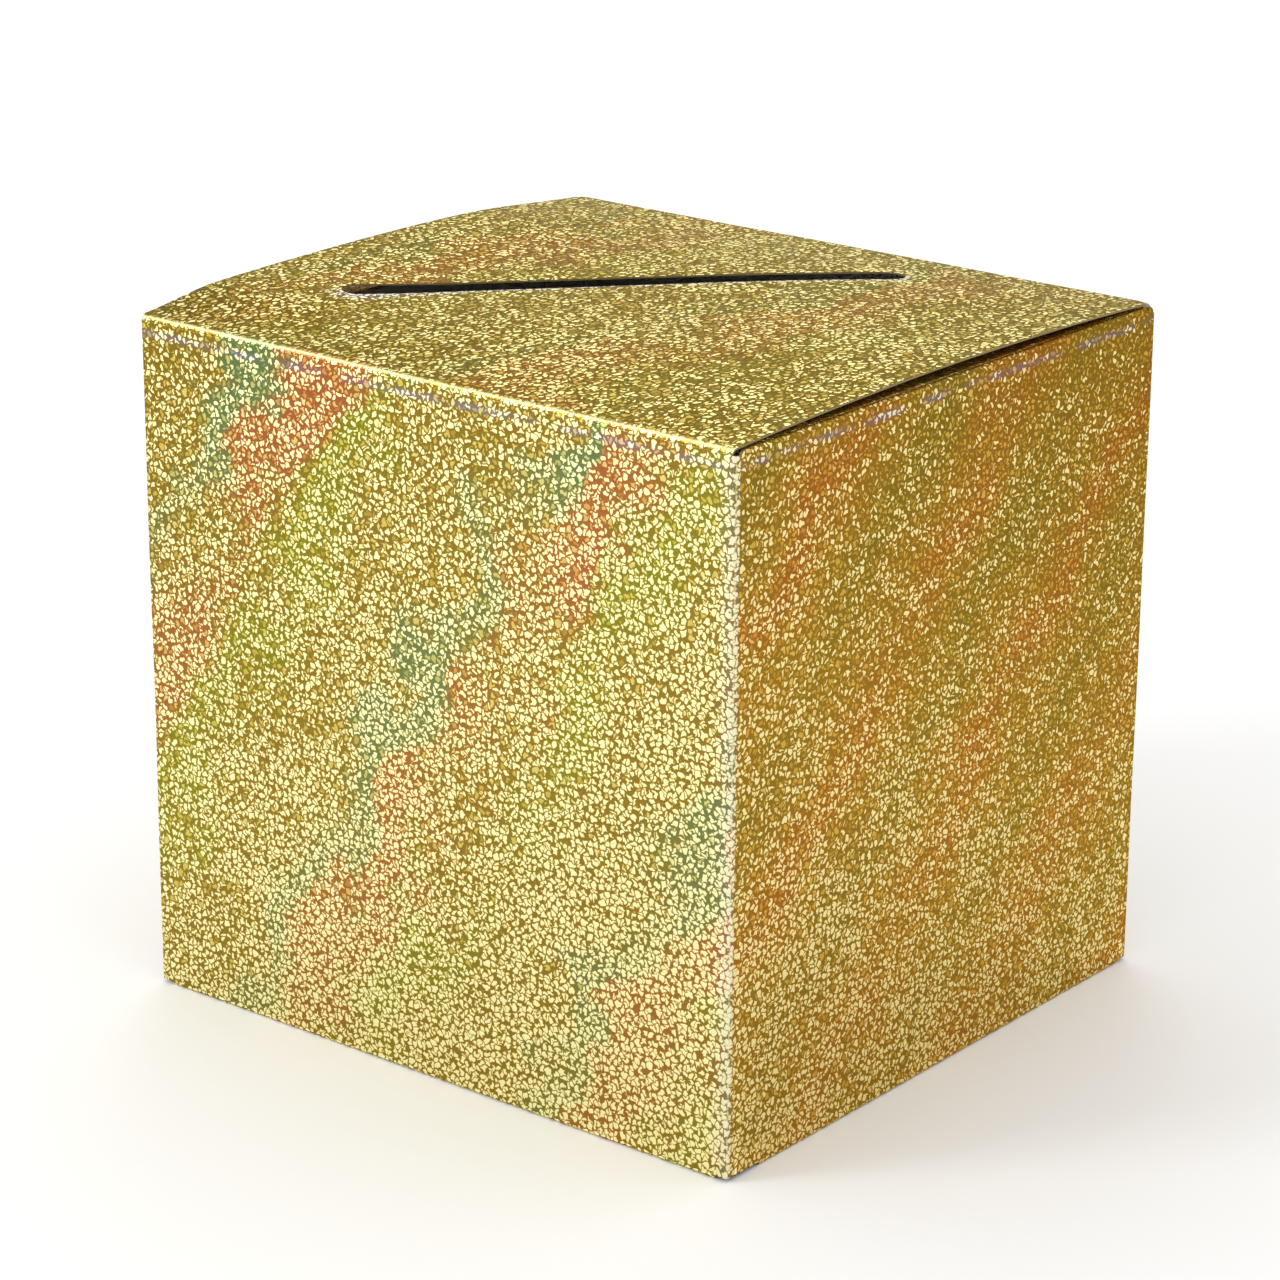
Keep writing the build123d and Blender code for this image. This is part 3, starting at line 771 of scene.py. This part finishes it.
class CARDBOX_OT_lid(bpy.types.Operator):
    """Make the bowed lid with its slanting slot"""

    bl_idname = "cardbox.lid"
    bl_label = "Lid"

    def execute(self, context):
        size = sizes()
        half, front, back = LID_HIGH[0], -HALF_DEPTH + size.crease_reach, TUCK_FOLD_Y - size.crease_reach
        fold_end, step = half - LID_CORNER - NOTCH_CUT, size.grid
        turn = np.linspace(0, math.pi / 2, LID_CORNER_COLUMNS)
        corner = np.stack([
            half - LID_CORNER + LID_CORNER * np.cos(turn), back - LID_CORNER + LID_CORNER * np.sin(turn),
        ], -1)
        fronts = stations(-half, half, step)
        sides = stations(front, back - LID_CORNER, step)[1:-1]
        backs = stations(-fold_end, fold_end, step)
        outline = np.concatenate([
            np.stack([fronts, np.full_like(fronts, front)], -1),
            np.stack([np.full_like(sides, half), sides], -1),
            corner,
            np.stack([backs[::-1], np.full_like(backs, back)], -1),
            (corner * (-1, 1))[::-1],
            np.stack([np.full_like(sides, -half), sides[::-1]], -1),
        ])
        # Each point of the outline is joined to the nearest point of the slot's rim
        way = np.array([math.cos(SLOT_TURN), math.sin(SLOT_TURN)])
        straight = (size.slot_length - size.slot_width) / 2
        along = np.clip((outline - SLOT_CENTRE) @ way, -straight, straight)
        foot = SLOT_CENTRE + along[:, None] * way
        spoke = outline - foot
        span = np.linalg.norm(spoke, axis=1)
        spoke /= span[:, None]
        span = span - size.slot_width / 2
        t = np.linspace(0, 1, LID_ROWS)[1:-1, None]
        distance = np.concatenate([
            np.broadcast_to(LIP_STEPS, (len(LIP_STEPS), len(span))),
            LIP_STEPS[-1] + (span - RIM_STEPS[0] - LIP_STEPS[-1]) * t,
            span - RIM_STEPS,
        ])
        plan = foot[None] + spoke[None] * (distance + size.slot_width / 2)[..., None]
        x, y = plan[..., 0], plan[..., 1]
        v = HINGE_Z + HALF_DEPTH + y
        drop = size.lip_drop * np.clip(1 - distance / size.lip_reach, 0, 1) ** 2
        z = HINGE_Z + arch(y) + curl(x, y) + ripple(x, v) - drop
        # Painted sheen on the slot's near lip: a violet painted reflection and more painted glints, furthest
        # at its left end
        near_side = smooth(spoke @ np.array([math.sin(SLOT_TURN), -math.cos(SLOT_TURN)]) + 0.35)
        reach = PAINTED_LIP_REACH[0] + (PAINTED_LIP_REACH[1] - PAINTED_LIP_REACH[0]) * smooth(2 * (along / straight + 1))
        painted_sheen = near_side * (1 - smooth(distance / reach))
        # A few more pebbles are painted bright as glints round the slot's right tip
        tip = smooth(6 * along / straight - 5) * (1 - smooth(distance / PAINTED_LIP_REACH[0]))
        # Pebbles are drawn longer from hinge to tuck fold
        drawn = HINGE_Z + (HALF_DEPTH + y) * LID_DRAW
        board_piece(
            "lid_with_slot", np.stack([x, y, z], -1), (0, 0, 1), (x, drawn), "lid", HALF_DEPTH + y, "lid",
            ["lid_panel"], ring=True, wear=painted_sheen, painted_glints=PAINTED_LIP_GLINTS * painted_sheen + PAINTED_TIP_GLINTS * tip,
        )
        return {"FINISHED"}


class CARDBOX_OT_flaps(bpy.types.Operator):
    """Make the tuck flap and the two dust flaps"""

    bl_idname = "cardbox.flaps"
    bl_label = "Tuck flap and dust flaps"

    def execute(self, context):
        reach, step = sizes().crease_reach, sizes().grid
        half = TUCK_HIGH[0]
        marks = half - TUCK_CORNER * CORNER_STEPS
        columns = stations(-half, half, step, *marks, *-marks)
        lean = math.radians(TUCK_LEAN)
        away, face = (0, -math.sin(lean), -math.cos(lean)), (0, math.cos(lean), -math.sin(lean))
        root_v = HINGE_Z + LID_CHORD
        points, x, d = flap(
            (0, TUCK_FOLD_Y, HINGE_Z), (1, 0, 0), away, face, columns,
            lambda c: TUCK_DEPTH - rounding(half - np.abs(c), TUCK_CORNER), near=reach,
            lift=lambda c, d: ripple(c, root_v + d),
        )
        board_piece("tuck_flap_board", points, face, (x, root_v + d), "back", FAR, "tuck", ["tuck_flap"])
        end = DUST_BEAD_HIGH[1]
        marks = end - DUST_CORNER * CORNER_STEPS
        columns = stations(-end, end, step, *marks, *-marks)
        tapers = (math.tan(math.radians(DUST_FRONT_TAPER)), math.tan(math.radians(DUST_BACK_TAPER)))
        depth = DUST_HIGH[0] + HALF_WIDTH
        for side, sign, wall_s in (("left", -1, STATIONS[1]), ("right", 1, STATIONS[4])):
            points, y, d = flap(
                (sign * HALF_WIDTH, 0, SIDE_TOP), (0, 1, 0), (-sign, 0, 0), (0, 0, 1), columns,
                lambda c: depth - rounding(end - np.abs(c), DUST_CORNER), near=reach, tapers=tapers,
            )
            s = wall_s + sign * (y + CORNER_Y)
            board_piece(
                f"dust_flap_{side}_board", points, (0, 0, 1), (s, SIDE_TOP + d), side, FAR, f"dust_{side}",
                [f"dust_flap_{side}"],
            )
        return {"FINISHED"}


class CARDBOX_OT_creases(bpy.types.Operator):
    """Make the rounded creases that the lid, the tuck flap and the dust flaps turn on"""

    bl_idname = "cardbox.creases"
    bl_label = "Creases"

    def execute(self, context):
        reach, step = sizes().crease_reach, sizes().grid
        slope = math.atan((arch(reach - HALF_DEPTH) - arch(-HALF_DEPTH)) / reach)
        lean = math.radians(TUCK_LEAN)
        up, tuck_v = (0, 0, 1), HINGE_Z + LID_CHORD
        lid_columns = stations(-WALL_HIGH[0], WALL_HIGH[0], step)
        tuck_columns = stations(-TUCK_HIGH[0], TUCK_HIGH[0], step)
        dust_columns = stations(DUST_BEAD_LOW[1], DUST_BEAD_HIGH[1], step)
        jobs = (
            ("lid_crease_board", (0, -HALF_DEPTH, HINGE_Z), up, (0, math.cos(slope), math.sin(slope)),
             lid_columns, LID_HIGH[0] / WALL_HIGH[0] - 1, HINGE_Z, "front", "carton", "lid", "lid_crease"),
            ("tuck_crease_board", (0, TUCK_FOLD_Y, HINGE_Z), (0, math.cos(slope), -math.sin(slope)),
             (0, -math.sin(lean), -math.cos(lean)),
             tuck_columns, 0.0, tuck_v, "back", "lid", "tuck", "tuck_crease"),
            ("dust_crease_left_board", (-HALF_WIDTH, 0, SIDE_TOP), up, (1, 0, 0),
             dust_columns, 0.0, SIDE_TOP, "left", "carton", "dust_left", "dust_crease_left"),
            ("dust_crease_right_board", (HALF_WIDTH, 0, SIDE_TOP), up, (-1, 0, 0),
             dust_columns, 0.0, SIDE_TOP, "right", "carton", "dust_right", "dust_crease_right"),
        )
        for name, corner, first, second, columns, spread, fold_v, look, before, after, node in jobs:
            corner, first, second = np.array(corner), np.array(first, float), np.array(second, float)
            points, normal, share = crease_strip(corner, first, second, columns, reach, spread)
            v = fold_v + reach * (2 * share - 1)
            s = np.broadcast_to(columns[None, :], points.shape[:2])
            if "dust" in name:
                sign = 1 if "right" in name else -1
                s = (STATIONS[4] if sign > 0 else STATIONS[1]) + sign * (s + CORNER_Y)
            v = np.broadcast_to(v, s.shape)
            points = points + normal * ripple(s, v)[..., None]
            distance = np.abs(v - fold_v) if name == "lid_crease_board" else FAR
            piece = board_piece(name, points, normal, (s, v), look, distance, None, [node])
            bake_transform(piece)
        return {"FINISHED"}


class CARDBOX_OT_base(bpy.types.Operator):
    """Make the interlocking bottom flaps and the folds that they hang on"""

    bl_idname = "cardbox.base"
    bl_label = "Bottom flaps"

    def execute(self, context):
        step, down = sizes().grid, (0, 0, -1)
        taper = math.tan(math.radians(FLAP_TAPER))
        layer = SIDE_FLAP_HIGH[2] - BOARD

        def climb(height, ramp):
            return lambda x, d: -height * smooth((d - BASE_RADIUS) / ramp)

        # Front flap: two lobes beside the recess
        half, reach = FRONT_FLAP_HIGH[0], HALF_DEPTH + FRONT_FLAP_HIGH[1]

        def lobes(x):
            lobe = reach - rounding(half - np.abs(x), FLAP_CORNER)
            lobe = lobe - rounding(np.abs(x) - RECESS_HALF, FLAP_CORNER)
            recess = RECESS_REACH + rounding(RECESS_HALF - np.abs(x), FLAP_CORNER)
            return np.where(np.abs(x) > RECESS_HALF, lobe, recess)

        bends = np.concatenate([FLAP_CORNER * CORNER_STEPS, [NOTCH_CUT]])
        marks = np.concatenate([RECESS_HALF + bends, RECESS_HALF - bends, half - bends])
        columns = stations(-half, half, step, *marks, *-marks)
        points, x, d = flap((0, -HALF_DEPTH, 0), (1, 0, 0), (0, 1, 0), down, columns, lobes,
                            near=BASE_RADIUS, tapers=(taper, taper), power=3,
                            lift=climb(2 * layer, LAYER_RAMP))
        board_piece("front_bottom_flap", points, down, (x, -d), "front", FAR, "carton", ["bottom_flap_front"])

        # Side flaps
        low, high = SIDE_FLAP_LOW[1], SIDE_FLAP_HIGH[1]
        reach = SIDE_FLAP_HIGH[0] + HALF_WIDTH
        marks = (*(low + FLAP_CORNER * CORNER_STEPS), *(high - FLAP_CORNER * CORNER_STEPS))
        columns = stations(low, high, step, *marks)
        for side, sign, wall_s in (("left", -1, STATIONS[1]), ("right", 1, STATIONS[4])):
            points, y, d = flap((sign * HALF_WIDTH, 0, 0), (0, 1, 0), (-sign, 0, 0), down, columns,
                                lambda c: reach - rounding(np.minimum(c - low, high - c), FLAP_CORNER),
                                near=BASE_RADIUS, tapers=(taper, taper), lift=climb(layer, LAYER_RAMP))
            s = wall_s + sign * (y + CORNER_Y)
            board_piece(
                f"{side}_bottom_flap", points, down, (s, -d), side, FAR, "carton", [f"bottom_flap_{side}"]
            )

        # Back flap and its tongue, which rises through the recess
        half = BACK_FLAP_HIGH[0]
        shoulder = BACK_FLAP_REACH
        tongue = HALF_DEPTH - BACK_FLAP_LOW[1]

        def tip(x):
            flap_end = shoulder - rounding(half - np.abs(x), FLAP_CORNER)
            tongue_end = tongue - rounding(TONGUE_HALF - np.abs(x), FLAP_CORNER)
            return np.where(np.abs(x) < TONGUE_HALF, tongue_end, flap_end)

        bends = FLAP_CORNER * CORNER_STEPS
        notch = [TONGUE_HALF + NOTCH_CUT, TONGUE_HALF - NOTCH_CUT]
        marks = np.concatenate([TONGUE_HALF - bends, notch, half - bends])
        columns = stations(-half, half, step, *marks, *-marks)
        rise = BACK_FLAP_HIGH[2] - BOARD
        points, x, d = flap((0, HALF_DEPTH, 0), (1, 0, 0), (0, -1, 0), down, columns, tip,
                            near=BASE_RADIUS, tapers=(taper, taper), power=3,
                            lift=lambda x, d: -rise * smooth((d - shoulder) / TONGUE_RAMP))
        s = LOOK_MIDDLES["back"] - x
        board_piece("back_bottom_flap", points, down, (s, -d), "back", FAR, "carton", ["bottom_flap_back"])

        folds = (
            ("front", (0, -HALF_DEPTH, 0), (0, 1, 0), 0, 0, 1),
            ("back", (0, HALF_DEPTH, 0), (0, -1, 0), 0, LOOK_MIDDLES["back"], -1),
            ("left", (-HALF_WIDTH, 0, 0), (1, 0, 0), 1, STATIONS[1] - CORNER_Y, -1),
            ("right", (HALF_WIDTH, 0, 0), (-1, 0, 0), 1, STATIONS[4] + CORNER_Y, 1),
        )
        for name, corner, inward, axis, middle, sign in folds:
            low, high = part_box(f"base_fold_{name}")
            columns = stations(low[axis], high[axis], step)
            points, normal, share = crease_strip(np.array(corner), down, inward, columns, BASE_RADIUS)
            v = np.broadcast_to(BASE_RADIUS * (1 - 2 * share), points.shape[:2])
            s = np.broadcast_to(middle + sign * columns[None, :], v.shape)
            fade = np.clip(v / BASE_RADIUS, 0, 1)
            points = points + normal * (ripple(s, v) * fade)[..., None]
            board_piece(
                f"{name}_base_fold", points, normal, (s, v), name, FAR, "carton", [f"base_fold_{name}"]
            )
        return {"FINISHED"}


class CARDBOX_OT_glue(bpy.types.Operator):
    """Give the glue in the seam its finish"""

    bl_idname = "cardbox.glue"
    bl_label = "Seam glue"

    def execute(self, context):
        glue = frame["nodes"]["seam_glue"]
        glue.data.materials.clear()
        glue.data.materials.append(dried_glue())
        return {"FINISHED"}


class CARDBOX_OT_stage(bpy.types.Operator):
    """Set out the floor, the lights and the camera"""

    bl_idname = "cardbox.stage"
    bl_label = "Stage"

    def execute(self, context):
        scene = context.scene
        mesh = bpy.data.meshes.new("studio_floor")
        x, y = np.meshgrid((-FLOOR_HALF, FLOOR_HALF), (-FLOOR_HALF, FLOOR_HALF))
        corners = np.stack([x, y, np.full_like(x, FLOOR_Z)], -1).reshape(-1, 3)
        mesh.from_pydata(corners, [], [(0, 1, 3, 2)])
        mesh.materials.append(studio_paper())
        floor = bpy.data.objects.new("studio_floor", mesh)
        scene.collection.objects.link(floor)

        world = bpy.data.worlds.new("studio")
        world.use_nodes = True
        background = world.node_tree.nodes["Background"]
        background.inputs["Color"].default_value = (1, 1, 1, 1)
        background.inputs["Strength"].default_value = WORLD_STRENGTH
        scene.world = world

        for name, place, power, side in LAMPS:
            lamp = bpy.data.lights.new(name, "AREA")
            lamp.energy, lamp.shape, lamp.size = power, "DISK", side
            holder = bpy.data.objects.new(name, lamp)
            towards = np.array([0, 0, HINGE_Z / 2]) - place
            holder.matrix_world = looking(np.array(place), towards, 0.0)
            scene.collection.objects.link(holder)

        lens = bpy.data.cameras.new("camera")
        lens.lens, lens.sensor_width = CAMERA_LENS, CAMERA_SENSOR
        lens.clip_end = 4 * FLOOR_HALF
        camera = bpy.data.objects.new("camera", lens)
        azimuth, elevation = math.radians(CAMERA_AZIMUTH), math.radians(CAMERA_ELEVATION)
        back = np.array([
            math.sin(azimuth) * math.cos(elevation),
            -math.cos(azimuth) * math.cos(elevation),
            math.sin(elevation),
        ])
        camera.matrix_world = looking(np.array(CAMERA_PLACE), -back, math.radians(CAMERA_ROLL))
        scene.collection.objects.link(camera)
        scene.camera = camera
        scene.view_settings.view_transform = "Standard"
        scene.view_settings.look = "None"
        return {"FINISHED"}


def looking(place, towards, roll):
    """The matrix of a camera or lamp at a place, looking along `towards`, turned about that line by roll."""
    back = -towards / np.linalg.norm(towards)
    right = np.cross((0, 0, 1), back)
    right /= np.linalg.norm(right)
    up = np.cross(back, right)
    axes = np.stack([
        math.cos(roll) * right + math.sin(roll) * up,
        math.cos(roll) * up - math.sin(roll) * right,
        back,
        place,
    ], 1)
    return Matrix([*axes.tolist(), (0, 0, 0, 1)])


class CARDBOX_PT_panel(bpy.types.Panel):
    """Sizes, colours and pieces of the card box"""

    bl_idname = "CARDBOX_PT_panel"
    bl_label = "Card Box"
    bl_space_type = "VIEW_3D"
    bl_region_type = "UI"
    bl_category = "Card Box"

    def draw(self, context):
        for group in (context.scene.card_box_sizes, context.scene.card_box_colours):
            box = self.layout.box()
            for name in group.__annotations__:
                box.prop(group, name)
        for operator in OPERATORS:
            self.layout.operator(operator.bl_idname)


OPERATORS = (
    CARDBOX_OT_walls,
    CARDBOX_OT_upright_folds,
    CARDBOX_OT_lid,
    CARDBOX_OT_flaps,
    CARDBOX_OT_creases,
    CARDBOX_OT_base,
    CARDBOX_OT_glue,
    CARDBOX_OT_stage,
)
CLASSES = (CardBoxSizes, CardBoxColours, *OPERATORS, CARDBOX_PT_panel)


def register():
    for cls in CLASSES:
        bpy.utils.register_class(cls)
    bpy.types.Scene.card_box_sizes = PointerProperty(type=CardBoxSizes)
    bpy.types.Scene.card_box_colours = PointerProperty(type=CardBoxColours)


def unregister():
    del bpy.types.Scene.card_box_colours
    del bpy.types.Scene.card_box_sizes
    for cls in reversed(CLASSES):
        bpy.utils.unregister_class(cls)


def main():
    """Registers the add-on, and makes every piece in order."""
    register()
    bpy.ops.cardbox.walls()
    bpy.ops.cardbox.upright_folds()
    bpy.ops.cardbox.lid()
    bpy.ops.cardbox.flaps()
    bpy.ops.cardbox.creases()
    bpy.ops.cardbox.base()
    bpy.ops.cardbox.glue()
    bpy.ops.cardbox.stage()


if __name__ == "__main__":
    main()
